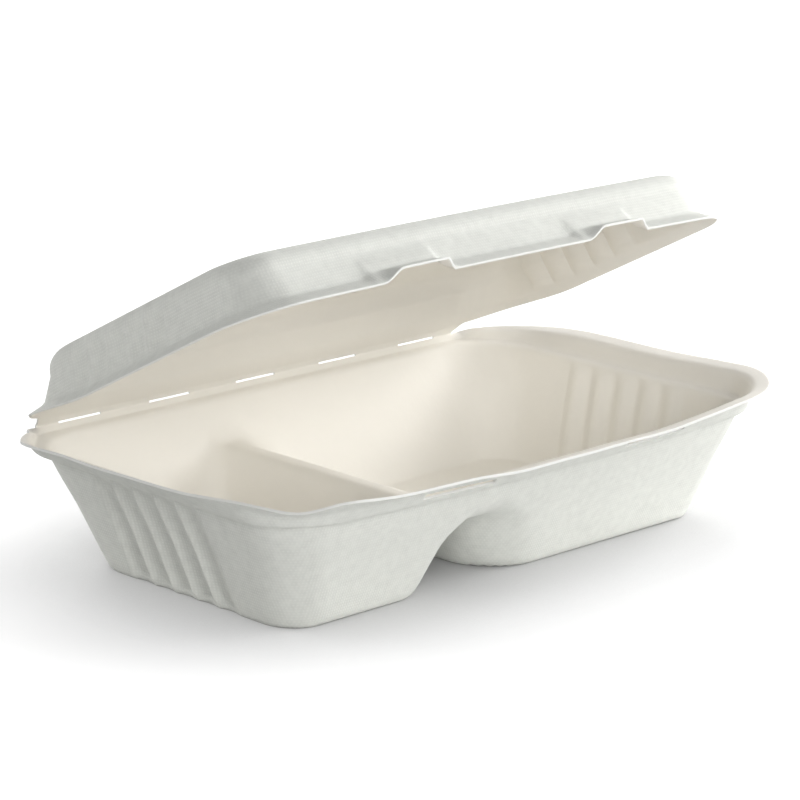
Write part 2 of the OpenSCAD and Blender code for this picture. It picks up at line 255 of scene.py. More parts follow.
def fold_weight(x, y, half, taper):
    """1 along the straight fold at the back of a ring and 0 on its corners."""
    return np.where(y < 20, 0, 1 - ease((np.abs(x) - half) / taper))


def fold_point(s, slope, rise):
    """Outer side of a half at distance s from the hinge line, as depth and height."""
    depth = HINGE_REACH - s * math.cos(slope) + SKIN / 2 * math.sin(slope)
    return depth, HINGE_HEIGHT + rise * (s * math.sin(slope) + SKIN / 2 * math.cos(slope))


def rim_level(x, y):
    """Height of the underside of the tray's rim: low at the back, warped up at the front right."""
    fall = 2.2 * ease((y - 26) / 45)
    lift = 1.6 * ease((x - 40) / 50) * ease((-y - 10) / 45)
    ripple = 0.112 * np.sin(x / 11 + 0.9 * np.sin(y / 17)) + 0.08 * np.sin(x / 5.3 + y / 7.1 + 2)
    return RIM_HEIGHT - SKIN - fall + lift + ripple


def left_sag(x, y):
    """1 where the flange of the left end has tipped inwards."""
    return ease((-58 - x) / 36) * ease((66 - y) / 30)


def rim_lift(x, y):
    """How far the rim's edge is bent upwards at the left end and the left part of the front."""
    end = ease((-x - 102) / 8) * ease((24 - y) / 30)
    back = np.where(x < -95, 0.7 * ease((y - 8) / 24) - 1.9 * ease((y - 42) / 26), 0)
    left = 0.6 * ease((y + 63) / 14) + 1.9 * np.exp(-((y + 48) / 14) ** 2)
    front = ease((x + 98) / 14) + 1.9 * np.exp(-((x + 94) / 13) ** 2)
    near_front = ease((-y - 64) / 8) * ease((-20 - x) / 26)
    return end * left + back + near_front * front


def filleted(e1, c1, e2, c2, radius):
    """Height share at which two slopes meet with a plan radius between them."""
    t1, t2 = e1 / c1, e2 / c2
    a = c1 * c1 + c2 * c2
    b = (e1 + radius) * c1 + (e2 + radius) * c2
    c = (e1 + radius) ** 2 + (e2 + radius) ** 2 - radius * radius
    near = (e1 + radius > c1 * t2) & (e2 + radius > c2 * t1)
    return np.where(near, (b - np.sqrt(np.maximum(0, b * b - a * c))) / a, np.maximum(t1, t2))


def swelled(height):
    """A wall's height with the slight swell of its lower half."""
    return height + 2 * (1 - ease((height - 16) / 17))


def wall_run(y):
    """How far the front or back wall leans out in plan."""
    return np.where(y < 0, -WALL_RING[1] + FLOOR_LOOP[1], WALL_RING[2] - FLOOR_LOOP[2])


def tray_height(x, y, share):
    """Height of the underside of the tray's bowl over its plan."""
    run = wall_run(y)
    own = (np.abs(y) - FLOOR_LOOP[2]) / run if share is None else share
    left = x < DIVIDER_AT
    flank = np.where(left, x - DIVIDER_FOOT[0], DIVIDER_FOOT[1] - x)
    flank_run = np.where(left, DIVIDER_RUN[0], DIVIDER_RUN[1])
    blend = np.where(left, DIVIDER_BLEND[0], DIVIDER_BLEND[1])
    joint = filleted(own * run, run, flank, flank_run, blend)
    wall = swelled(WALL_HEIGHT * own)
    bowl = swelled(WALL_HEIGHT * joint)
    ridge = soft_min(bowl, DIVIDER_HEIGHT, 10)
    return soft_max(soft_max(wall, ridge, np.clip(bowl - wall, 0.001, 8)), 0, 4)


EDGE_RING = inset_ring(FLOOR_LOOP, FLOOR_EDGE)
FLUTE_START = FLUTE_AT - FLUTES * FLUTE_PITCH / 2
FLUTE_STOP = FLUTE_AT + FLUTES * FLUTE_PITCH / 2
ROW_END = EDGE_RING[2] - EDGE_RING[4]
COLUMN_END = EDGE_RING[0] - EDGE_RING[3]

# Shares of the collar's height at which the locking slots start and stop
SLOT_TOP = 0.16
SLOT_FOOT = 0.68

# Stations of the rim's section, and how far the rounding of each knot reaches
TRAY_REACHES = [0, 1.4, 1.1, 1.4]
TRAY_STATIONS = (
    [("run", 0, t) for t in (0, 0.3, 0.65)]
    + [("bend", 1, t) for t in (0, 0.25, 0.5, 0.75, 1)]
    + [("run", 1, t) for t in (SLOT_TOP, 0.38, SLOT_FOOT, 0.8)]
    + [("bend", 2, t) for t in (0, 0.33, 0.67, 1)]
    + [("bend", 3, t) for t in (0, 0.25, 0.5, 0.75, 1)]
)
SLOT_TOP_RING = TRAY_STATIONS.index(("run", 1, SLOT_TOP))
SLOT_FOOT_RING = TRAY_STATIONS.index(("run", 1, SLOT_FOOT))
WALL_SHARES = [0.93, 0.89, 0.84, 0.76, 0.67, 0.58, 0.49, 0.4, 0.31, 0.23, 0.16, 0.1, 0.06, 0.025, 0]
FLOOR_INSETS = [0.6, 1.4, FLOOR_EDGE, 3.8, 5.5, 7.5, 10.0]


def right_rows(rows, x):
    """How far the rows of the right end are shifted to meet its wider flutes."""
    half = FLUTES * (RIGHT_FLUTE_PITCH - FLUTE_PITCH) / 2
    ends = [RIGHT_FLUTE_AT - FLUTE_AT - half, RIGHT_FLUTE_AT - FLUTE_AT + half]
    shift = np.interp(rows, [-ROW_END, FLUTE_START, FLUTE_STOP, ROW_END], [0, ends[0], ends[1], 0])
    return shift * ease((x + 60) / 120)


def row_lean(rows):
    """How far the rows of the ends lean to the back from the floor to the rim."""
    return np.interp(rows, [-ROW_END, FLUTE_START, FLUTE_STOP, ROW_END], [0, 1, 1, 0]) * FLUTE_LEAN


def tray_rows():
    """Rows of the tray's sheet, close together on the flutes."""
    front = np.linspace(-ROW_END, FLUTE_START, 7)[:-1]
    flutes = np.linspace(FLUTE_START, FLUTE_STOP, 18 * FLUTES + 1)
    back = np.linspace(FLUTE_STOP, ROW_END, 7)[1:]
    return np.concatenate([front, flutes, back])


def stepped(stops, step):
    """Positions that hit every stop, with steps of about the given length between them."""
    spans = zip(stops, stops[1:], step)
    parts = [np.linspace(a, b, max(2, round((b - a) / s) + 1))[:-1] for a, b, s in spans]
    return np.concatenate(parts + [[stops[-1]]])


def tray_columns():
    """Columns of the tray's sheet, close together on the right flank of the divider."""
    slots = [TAB_AT - LOCK_SLOT_HALF, TAB_AT + LOCK_SLOT_HALF]
    stops = [-COLUMN_END, -slots[1], -slots[1] + 8, -slots[0] + 24, slots[0], slots[1], COLUMN_END]
    return stepped(stops, [3.2, 2.4, 1.3, 2.6, 2.8, 3.2])


def tray_knots(grid, m):
    """The corners of the tray's rim section on ring number m, and a point of the wall under it."""
    knots = []
    rings = (RIM_RING, FLANGE_RING, COLLAR_RING, WALL_RING)
    for k, ring in enumerate(rings):
        x, y, side, j = grid.place(ring, m)
        y = y + np.where(side, row_lean(grid.ys[j]) + right_rows(grid.ys[j], x), 0)
        if k < len(TRAY_FOLD_KNOTS):
            fold = fold_point(TRAY_FOLD_KNOTS[k], TRAY_FOLD_SLOPE, -1)
        w0 = fold_weight(x, y, TRAY_FOLD_HALF, 4.5)
        w1 = fold_weight(x, y, TRAY_FOLD_HALF - 9, 14)
        if k == 0:
            level = rim_level(x, y) + rim_lift(x, y)
            knots.append([x, mix(y, fold[0], w0), mix(level, fold[1], w0)])
        elif k == 1:
            level = rim_level(x, y) + ROOT_LIFT_SHARE * rim_lift(x, y)
            level = level - FLANGE_TILT - LEFT_SAG * left_sag(x, y)
            knots.append([x, mix(y, fold[0], w1), mix(level, fold[1], w0)])
        elif k == 2:
            knots.append([x, mix(y, fold[0], w1), mix(LEDGE_HEIGHT, fold[1], w1)])
        else:
            knots.append([x, y, np.full_like(x, WALL_HEIGHT)])
    knots.append(tray_wall(grid, m, WALL_SHARES[0]))
    return [np.array(k) for k in knots]


def tray_wall(grid, m, share):
    """Point of the tray's wall at a share of its height, fluted at the ends."""
    ring = mix(FLOOR_LOOP, WALL_RING, max(share, 0))
    if share < 0:
        ring = inset_ring(FLOOR_LOOP, -share)
    x, y, side, j = grid.place(ring, m)
    rows = grid.ys[j]
    foot = ease((share + 0.06) / 0.1)
    if share < 0:
        foot = FLUTE_FOOT_SHARE * max(0, 1 + share / FLUTE_FOOT_REACH)
    groove = np.where(side, foot * ease((0.99 - share) / 0.09), 0)
    left = LEFT_FLUTE_DEPTH * flute_wave(rows, FLUTE_AT, FLUTE_PITCH)
    right = RIGHT_FLUTE_DEPTH * soft_flute_wave(rows, FLUTE_AT, FLUTE_PITCH)
    x = x + groove * np.where(x < 0, left, -right)
    y = y + np.where(side, row_lean(rows) * max(0, share) + right_rows(rows, x), 0)
    if share < 0:
        end_share = share / (WALL_RING[0] - FLOOR_LOOP[0])
        share = np.maximum((np.abs(y) - FLOOR_LOOP[2]) / wall_run(y), end_share)
    return np.array([x, y, tray_height(x, y, share)])


def tray_points():
    """Underside of the tray as a grid of points, millimetres."""
    levels = [("section", s) for s in TRAY_STATIONS]
    levels += [("wall", s) for s in WALL_SHARES]
    levels += [("wall", -d) for d in FLOOR_INSETS]
    grid = RingGrid(tray_columns(), tray_rows(), len(levels))
    points = np.zeros((3, grid.nj, grid.ni))
    for m, (kind, value) in enumerate(levels):
        if kind == "section":
            found = section_point(tray_knots(grid, m), value, TRAY_REACHES)
        else:
            found = tray_wall(grid, m, value)
        points[:, grid.ring == m] = found
    x, y, j = grid.middle()
    y = y + right_rows(y, x)
    points[:, grid.ring == grid.last] = np.array([x, y, tray_height(x, y, None)])
    return grid, points


LID_EDGE_LEVEL = LEDGE_HEIGHT + 2 * SKIN + 0.3
LID_RING = inset_ring(COLLAR_RING, LID_INSET) + np.array([0, 0, 0, LID_CORNER_RELIEF, 0, 0, 0])
ROOT_RING = inset_ring(LID_RING, LID_FLANGE_WIDTH)
ROOT_LEVEL = LID_EDGE_LEVEL + LID_FLANGE_RISE
SHOULDER_LEVEL = CLOSED_HEIGHT - SHOULDER_RADIUS


def lid_wall_ring(share):
    """Ring of the lid's wall at a share of its height."""
    lean = np.array([-LID_END_RUN, LID_FRONT_RUN, -LID_BACK_RUN, -3, -3, -2.5, 0])
    return ROOT_RING + lean * share


def lid_shoulder_ring(turn):
    """Ring of the rounded shoulder after a turn in radians."""
    drop = 1 - math.cos(turn)
    inward = SHOULDER_RADIUS * drop
    ring = lid_wall_ring(1)
    corner = ring[3] - drop
    return np.array([
        ring[0] - 0.62 * inward, ring[1] + inward, ring[2] - inward,
        corner, corner, ring[5] - drop, ring[6] * (1 - turn / (math.pi / 2)),
    ])


PANEL_RING = lid_shoulder_ring(math.pi / 2)
LID_COLUMN_END = PANEL_RING[0] - PANEL_RING[3]
LID_ROW_START = PANEL_RING[1] + PANEL_RING[3]
LID_ROW_STOP = PANEL_RING[2] - PANEL_RING[4]
LID_REACHES = [0, 1.1]
LID_STATIONS = (
    [("run", 0, t) for t in (0, 0.3, 0.65)]
    + [("bend", 1, t) for t in (0, 0.25, 0.5, 0.75, 1)]
)
LID_WALL = [0.24, 0.36, 0.5, 0.64, 0.78, 0.9, 1.0]
LID_SHOULDER = [math.radians(a) for a in (10, 20, 30, 40, 50, 60, 70, 80, 90)]
LID_INSETS = [1.5, 5.0]


def tab_weight(x, y, lead):
    """1 along a locking tab and 0 away from it; its root rises a little before its edge."""
    weight = np.zeros_like(x)
    for at in (-TAB_AT, TAB_AT):
        d = x - at
        left = ease((d + TAB_HALF + lead) / lead) if lead else ease((d + TAB_HALF) / TAB_RAMP)
        right = ease((TAB_HALF - d) / TAB_END)
        weight = np.maximum(weight, np.where(d < 0, left, right))
    return np.where(y > -30, 0, weight)


def lid_flute_share(level):
    """How deep the lid's flutes are at a height of its end wall."""
    stops = [LID_EDGE_LEVEL, ROOT_LEVEL, mix(ROOT_LEVEL, SHOULDER_LEVEL, 0.2), SHOULDER_LEVEL,
             SHOULDER_LEVEL + SHOULDER_RADIUS * math.sin(math.radians(50)), CLOSED_HEIGHT]
    return float(np.interp(level, stops, [0, LID_ROOT_GROOVE, 1, 1, 0.45, 0]))


def lid_ring_point(grid, m, ring, level):
    """Point of the lid's wall or shoulder, fluted at the ends."""
    x, y, side, j = grid.place(ring, m)
    groove = flute_wave(grid.ys[j], LID_FLUTE_AT, LID_FLUTE_PITCH) * lid_flute_share(level)
    x = x - np.sign(x) * LID_FLUTE_DEPTH * np.where(side, groove, 0)
    root = TAB_ROOT_RISE * tab_weight(x, y, TAB_LEAD) * float(ease((SHOULDER_LEVEL - level) / 8))
    return np.array([x, y, np.full_like(x, level) + root])


def lid_knots(grid, m):
    """Edge and root of the lid's flange and a point of the wall over it, on ring number m."""
    x, y, side, j = grid.place(LID_RING, m)
    w0 = fold_weight(x, y, LID_FOLD_HALF, 3.5)
    rise = LID_BACK_RISE * ease((y - 22) / 42)
    tab = tab_weight(x, y, 0)
    fold = fold_point(LID_FOLD_KNOTS[0], LID_FOLD_SLOPE, 1)
    level = mix(LID_EDGE_LEVEL + rise, fold[1], w0) + TAB_RISE * tab
    edge = [x, mix(y, fold[0], w0) - TAB_REACH * tab, level]
    x, y, side, j = grid.place(ROOT_RING, m)
    groove = LID_ROOT_GROOVE * flute_wave(grid.ys[j], LID_FLUTE_AT, LID_FLUTE_PITCH)
    x = x - np.sign(x) * LID_FLUTE_DEPTH * np.where(side, groove, 0)
    w1 = fold_weight(x, y, LID_FOLD_HALF - 8, 11)
    rise = LID_BACK_RISE * ease((y - 22) / 42)
    fold = fold_point(LID_FOLD_KNOTS[1], LID_FOLD_SLOPE, 1)
    level = mix(ROOT_LEVEL + 0.5 * rise, fold[1], w1) + TAB_ROOT_RISE * tab_weight(x, y, TAB_LEAD)
    root = [x, mix(y, fold[0], w1), level]
    share = LID_WALL[0]
    wall = lid_ring_point(grid, m, lid_wall_ring(share), mix(ROOT_LEVEL, SHOULDER_LEVEL, share))
    return [np.array(k) for k in (edge, root, wall)]


def lid_columns():
    """Columns of the lid's sheet, close together on the tabs."""
    left = [-TAB_AT - TAB_HALF - TAB_LEAD, -TAB_AT + TAB_HALF]
    right = [TAB_AT - TAB_HALF - TAB_LEAD, TAB_AT + TAB_HALF]
    stops = [-LID_COLUMN_END, left[0], left[1], right[0], right[1], LID_COLUMN_END]
    return stepped(stops, [2.6, 0.85, 2.6, 0.85, 2.6])


def lid_rows():
    """Rows of the lid's sheet, close together on the flutes."""
    span = FLUTES * LID_FLUTE_PITCH / 2
    stops = [LID_ROW_START, LID_FLUTE_AT - span, LID_FLUTE_AT + span, LID_ROW_STOP]
    return stepped(stops, [2.2, LID_FLUTE_PITCH / 18, 1.6])


def lid_points():
    """Outer side of the closed lid as a grid of points, millimetres."""
    levels = [("section", s) for s in LID_STATIONS]
    levels += [("wall", s) for s in LID_WALL]
    levels += [("shoulder", t) for t in LID_SHOULDER]
    levels += [("panel", d) for d in LID_INSETS]
    grid = RingGrid(lid_columns(), lid_rows(), len(levels))
    points = np.zeros((3, grid.nj, grid.ni))
    for m, (kind, value) in enumerate(levels):
        if kind == "section":
            found = section_point(lid_knots(grid, m), value, LID_REACHES)
        elif kind == "wall":
            found = lid_ring_point(grid, m, lid_wall_ring(value), mix(ROOT_LEVEL, SHOULDER_LEVEL, value))
        elif kind == "shoulder":
            level = SHOULDER_LEVEL + SHOULDER_RADIUS * math.sin(value)
            found = lid_ring_point(grid, m, lid_shoulder_ring(value), level)
        else:
            found = lid_ring_point(grid, m, inset_ring(PANEL_RING, value), CLOSED_HEIGHT)
        points[:, grid.ring == m] = found
    x, y, j = grid.middle()
    points[:, grid.ring == grid.last] = np.array([x, y, np.full_like(x, CLOSED_HEIGHT)])
    return grid, points


def opened(points, angle):
    """Points of the closed lid turned open about the hinge line."""
    y = points[1] - HINGE_REACH
    z = points[2] - HINGE_HEIGHT
    turned = points.copy()
    turned[1] = HINGE_REACH + y * math.cos(angle) + z * math.sin(angle)
    turned[2] = HINGE_HEIGHT - y * math.sin(angle) + z * math.cos(angle)
    return turned


class Graph:
    """Short names for the nodes of one material."""

    def __init__(self, name):
        self.material = bpy.data.materials.new(name)
        self.material.use_nodes = True
        self.tree = self.material.node_tree
        self.tree.nodes.clear()

    def put(self, source, socket):
        """A number sets a socket, and an output is linked to it."""
        if isinstance(source, bpy.types.NodeSocket):
            self.tree.links.new(source, socket)
        elif source is not None:
            socket.default_value = source

    def node(self, kind, **settings):
        made = self.tree.nodes.new(kind)
        for key, value in settings.items():
            setattr(made, key, value)
        return made

    def math(self, operation, a, b=None, clamp=False):
        made = self.node("ShaderNodeMath", operation=operation, use_clamp=clamp)
        self.put(a, made.inputs[0])
        self.put(b, made.inputs[1])
        return made.outputs[0]

    def vector_math(self, operation, a, b=None, scale=None):
        made = self.node("ShaderNodeVectorMath", operation=operation)
        self.put(a, made.inputs[0])
        self.put(b, made.inputs[1])
        if scale is not None:
            made.inputs["Scale"].default_value = scale
        return made.outputs[0]

    def noise(self, vector, scale, detail=2.0, roughness=0.5):
        made = self.node("ShaderNodeTexNoise")
        self.put(vector, made.inputs["Vector"])
        made.inputs["Scale"].default_value = scale
        made.inputs["Detail"].default_value = detail
        made.inputs["Roughness"].default_value = roughness
        return made

    def turned(self, vector, angle, kind):
        """A vector turned about X, so that a pattern lies square on the open lid."""
        made = self.node("ShaderNodeMapping", vector_type=kind)
        self.put(vector, made.inputs["Vector"])
        made.inputs["Rotation"].default_value = (angle, 0, 0)
        return made.outputs[0]

    def mixed(self, share, first, second):
        made = self.node("ShaderNodeMix", data_type="RGBA")
        self.put(share, made.inputs[0])
        self.put(first, made.inputs[6])
        self.put(second, made.inputs[7])
        return made.outputs[2]

    def bump(self, height, distance, strength, normal=None):
        made = self.node("ShaderNodeBump")
        made.inputs["Strength"].default_value = strength
        made.inputs["Distance"].default_value = distance
        self.put(height, made.inputs["Height"])
        self.put(normal, made.inputs["Normal"])
        return made.outputs[0]

    def pulp(self, colour, normal, roughness):
        shader = self.node("ShaderNodeBsdfPrincipled")
        self.put(colour, shader.inputs["Base Color"])
        self.put(normal, shader.inputs["Normal"])
        shader.inputs["Roughness"].default_value = roughness
        shader.inputs["Specular IOR Level"].default_value = 0.22
        output = self.node("ShaderNodeOutputMaterial")
        self.tree.links.new(shader.outputs[0], output.inputs[0])
        return self.material


def linear(colour):
    """A screen colour as the linear colour that a shader takes."""
    channels = [c / 12.92 if c <= 0.04045 else ((c + 0.055) / 1.055) ** 2.4 for c in colour[:3]]
    return tuple(channels) + (1.0,)


def darker(colour, share):
    """A linear colour at a share of its brightness."""
    return tuple(c * share for c in colour[:3]) + (1.0,)


WIRE_DRIFT = 0.0011


def mould_wires(graph, position, normal, pitch):
    """Print of the wire cloth of the mould: a square grid of small knobs, each from 0 to 1."""
    wander = graph.noise(position, 38, 1.0)
    drift = graph.vector_math("SCALE", wander.outputs["Color"], scale=WIRE_DRIFT)
    moved = graph.vector_math("ADD", position, drift)
    place = graph.node("ShaderNodeSeparateXYZ")
    graph.put(moved, place.inputs[0])
    facing = graph.node("ShaderNodeSeparateXYZ")
    graph.put(normal, facing.inputs[0])
    waves, weights = [], []
    for axis in range(3):
        turns = graph.math("MULTIPLY", place.outputs[axis], 2 * math.pi / pitch)
        sine = graph.math("SINE", turns)
        waves.append(graph.math("MULTIPLY", graph.math("ADD", sine, 1.0), 0.5))
        flat = graph.math("MULTIPLY", facing.outputs[axis], facing.outputs[axis])
        weights.append(graph.math("POWER", graph.math("SUBTRACT", 1.0, flat, clamp=True), 2.0))
    height = 0.0
    for a, b in ((0, 1), (1, 2), (0, 2)):
        knob = graph.math("MULTIPLY", waves[a], waves[b])
        share = graph.math("MULTIPLY", weights[a], weights[b])
        height = graph.math("ADD", height, graph.math("MULTIPLY", knob, share))
    return height


def pulp_outside(name, colour, pitch, angle):
    """Side that lay on the mould: cool white with the print of its wire cloth, and painted shade darkening
    the pits between its knobs.
    """
    graph = Graph(name)
    place = graph.node("ShaderNodeTexCoord")
    position = graph.turned(place.outputs["Object"], angle, "POINT")
    facing = graph.turned(place.outputs["Normal"], angle, "NORMAL")
    wires = mould_wires(graph, position, facing, pitch)
    cloud = graph.noise(position, 45, 4.0, 0.6)
    fibres = graph.noise(position, 900, 3.0, 0.7)
    shade = darker(colour, 0.94)
    toned = graph.mixed(cloud.outputs[0], shade, colour)
    # Painted shade: the colour is darkened in the pits between the knobs of the wire print, unevenly along
    # a noise.
    pit_shade_colour = darker(colour, 0.8)
    patchy = graph.math("MULTIPLY", graph.noise(position, 320, 2.0, 0.6).outputs[0], 1.1)
    pit_shade = graph.math("MULTIPLY", graph.math("SUBTRACT", 1.0, wires), patchy, clamp=True)
    toned = graph.mixed(pit_shade, toned, pit_shade_colour)
    rough = graph.bump(fibres.outputs[0], 0.00015, 0.5)
    return graph.pulp(toned, graph.bump(wires, 0.00013, 0.65, rough), 0.85)


def pulp_inside(name, colour, angle):
    """Pressed side: warm cream, smooth, with soft clouds of fibre."""
    graph = Graph(name)
    place = graph.node("ShaderNodeTexCoord")
    position = graph.turned(place.outputs["Object"], angle, "POINT")
    cloud = graph.noise(position, 60, 5.0, 0.6)
    fibres = graph.noise(position, 700, 4.0, 0.75)
    shade = darker(colour, 0.955)
    toned = graph.mixed(cloud.outputs[0], shade, colour)
    rough = graph.bump(fibres.outputs[0], 0.00012, 0.22)
    return graph.pulp(toned, graph.bump(cloud.outputs[0], 0.0006, 0.2, rough), 0.78)


def pulp_edge(name, colour):
    """Trimmed edge: white, with torn fibres."""
    graph = Graph(name)
    place = graph.node("ShaderNodeTexCoord")
    fibres = graph.noise(place.outputs["Object"], 1500, 4.0, 0.8)
    shade = darker(colour, 0.9)
    toned = graph.mixed(fibres.outputs[0], shade, colour)
    return graph.pulp(toned, graph.bump(fibres.outputs[0], 0.0002, 0.5), 0.9)


def select_only(obj):
    bpy.ops.object.select_all(action="DESELECT")
    obj.select_set(True)
    bpy.context.view_layer.objects.active = obj


def sheet_from_grid(name, grid, points):
    """A grid sheet whose nodes are set on the section of one half."""
    bpy.ops.object.select_all(action="DESELECT")
    bpy.ops.mesh.primitive_grid_add(x_subdivisions=grid.ni - 1, y_subdivisions=grid.nj - 1, size=1)
    sheet = bpy.context.active_object
    sheet.name = name
    sheet.data.name = name
    if len(sheet.data.vertices) != grid.ni * grid.nj:
        raise RuntimeError(f"{name}: the grid has {len(sheet.data.vertices)} nodes")
    flat = points.reshape(3, -1).T * MM
    sheet.data.vertices.foreach_set("co", np.ascontiguousarray(flat, dtype=np.float32).ravel())
    sheet.data.update()
    return sheet


def cut_faces(sheet, keep):
    """Deletes the faces of a sheet for which keep is false, in edit mode."""
    select_only(sheet)
    bpy.ops.object.mode_set(mode="EDIT")
    bpy.ops.mesh.select_mode(type="FACE")
    bpy.ops.mesh.select_all(action="DESELECT")
    bpy.ops.object.mode_set(mode="OBJECT")
    sheet.data.polygons.foreach_set("select", ~keep)
    bpy.ops.object.mode_set(mode="EDIT")
    bpy.ops.mesh.delete(type="FACE")
    bpy.ops.object.mode_set(mode="OBJECT")


def turn_over(sheet):
    select_only(sheet)
    bpy.ops.object.mode_set(mode="EDIT")
    bpy.ops.mesh.select_all(action="SELECT")
    bpy.ops.mesh.flip_normals()
    bpy.ops.object.mode_set(mode="OBJECT")


def thicken(sheet, thickness, offset, round_edge):
    """Gives the sheet its wall and breaks the corners of its trimmed edges."""
    select_only(sheet)
    wall = sheet.modifiers.new("wall", "SOLIDIFY")
    wall.thickness = thickness
    wall.offset = offset
    wall.use_even_offset = True
    wall.material_offset = 1
    wall.material_offset_rim = 2
    bpy.ops.object.modifier_apply(modifier=wall.name)
    edge = sheet.modifiers.new("edge", "BEVEL")
    edge.width = round_edge
    edge.segments = 2
    edge.limit_method = "ANGLE"
    edge.angle_limit = math.radians(62)
    bpy.ops.object.modifier_apply(modifier=edge.name)
    bpy.ops.object.shade_smooth_by_angle(angle=math.radians(50))


def dress(obj, materials):
    for material in materials:
        obj.data.materials.append(material)


def finish_colours(settings, name, angle):
    """The three finishes of one half: outside, inside and edge."""
    outside = linear(settings.outside_colour)
    inside = linear(settings.inside_colour)
    edge = linear(settings.edge_colour)
    return [
        pulp_outside(f"{name}_wire_side", outside, settings.wire_pitch, angle),
        pulp_inside(f"{name}_pressed_side", inside, angle),
        pulp_edge(f"{name}_trimmed_edge", edge),
    ]


class PulpSettings(bpy.types.PropertyGroup):
    """Sizes and finishes of the two halves"""

    skin: bpy.props.FloatProperty(
        name="Skin", description="Thickness of the pressed pulp",
        default=SKIN * MM, unit="LENGTH", precision=5,
    )
    edge_round: bpy.props.FloatProperty(
        name="Edge rounding", description="Width of the broken corners of the trimmed edges",
        default=0.00018, unit="LENGTH", precision=5,
    )
    open_angle: bpy.props.FloatProperty(
        name="Open angle", description="How far the lid stands open",
        default=math.radians(26.7), subtype="ANGLE",
    )
    wire_pitch: bpy.props.FloatProperty(
        name="Wire pitch", description="Distance between the printed wires of the mould",
        default=0.00098, unit="LENGTH", precision=5,
    )
    outside_colour: bpy.props.FloatVectorProperty(
        name="Outside", description="Colour of the side with the wire print", subtype="COLOR_GAMMA",
        size=3, default=(0.935, 0.94, 0.916), min=0, max=1,
    )
    inside_colour: bpy.props.FloatVectorProperty(
        name="Inside", description="Colour of the pressed side", subtype="COLOR_GAMMA",
        size=3, default=(0.962, 0.95, 0.922), min=0, max=1,
    )
    edge_colour: bpy.props.FloatVectorProperty(
        name="Edge", description="Colour of the trimmed edges", subtype="COLOR_GAMMA",
        size=3, default=(0.95, 0.95, 0.935), min=0, max=1,
    )


class StageSettings(bpy.types.PropertyGroup):
    """Floor, light and camera"""

    camera_place: bpy.props.FloatVectorProperty(
        name="Camera", description="Place of the camera", subtype="XYZ", unit="LENGTH",
        size=3, default=(-0.6999, -0.7392, 0.3163),
    )
    camera_aim: bpy.props.FloatVectorProperty(
        name="Aim", description="Direction of the camera's view", subtype="DIRECTION",
        size=3, default=(0.6635, 0.7029, -0.2565),
    )
    lens: bpy.props.FloatProperty(
        name="Lens", description="Focal length in millimetres for a 36 mm image", default=148.08,
    )
    light_power: bpy.props.FloatProperty(
        name="Light", description="Power of all the soft lights together", subtype="POWER", default=74.0,
    )
    light_distance: bpy.props.FloatProperty(
        name="Light distance", description="Distance of the soft lights", unit="LENGTH", default=1.5,
    )
    light_size: bpy.props.FloatProperty(
        name="Light size", description="Diameter of each soft light", unit="LENGTH", default=0.8,
    )
    # Glow of the floor next to the container, below full white: part of the floor's painted shadow.
    floor_glow: bpy.props.FloatProperty(
        name="Floor glow", description="How much the floor is lifted to white in the picture", default=0.85,
    )


class CLAMSHELL_OT_tray(bpy.types.Operator):
    """Make the tray with its two compartments, flange and locking slots"""

    bl_idname = "clamshell.tray"
    bl_label = "Tray"

    def execute(self, context):
        settings = context.scene.clamshell_pulp
        grid, points = tray_points()
        tray = sheet_from_grid("tray_shell", grid, points)
        across = np.minimum(grid.ring[:-1, :-1], grid.ring[1:, 1:])
        middle = (points[0, :-1, :-1] + points[0, 1:, 1:]) / 2
        front = (points[1, :-1, :-1] < -50) & (np.abs(np.abs(middle) - TAB_AT) < LOCK_SLOT_HALF)
        rows = np.minimum(grid.j[:-1, :-1], grid.j[1:, 1:])
        slot = front & (rows >= SLOT_TOP_RING) & (rows < SLOT_FOOT_RING) & (across == rows)
        cut_faces(tray, ~slot.ravel())
        turn_over(tray)
        dress(tray, finish_colours(settings, "tray", 0.0))
        thicken(tray, settings.skin, -1, settings.edge_round)
        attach(tray, "tray")
        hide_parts("base_tray")
        return {"FINISHED"}


class CLAMSHELL_OT_lid(bpy.types.Operator):
    """Make the lid with its flange, shoulder, flutes and two tabs"""

    bl_idname = "clamshell.lid"
    bl_label = "Lid"

    def execute(self, context):
        settings = context.scene.clamshell_pulp
        grid, points = lid_points()
        lid = sheet_from_grid("lid_shell", grid, opened(points, settings.open_angle))
        dress(lid, finish_colours(settings, "lid", settings.open_angle))
        thicken(lid, settings.skin, -1, settings.edge_round)
        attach(lid, "lid")
        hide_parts("lid")
        return {"FINISHED"}


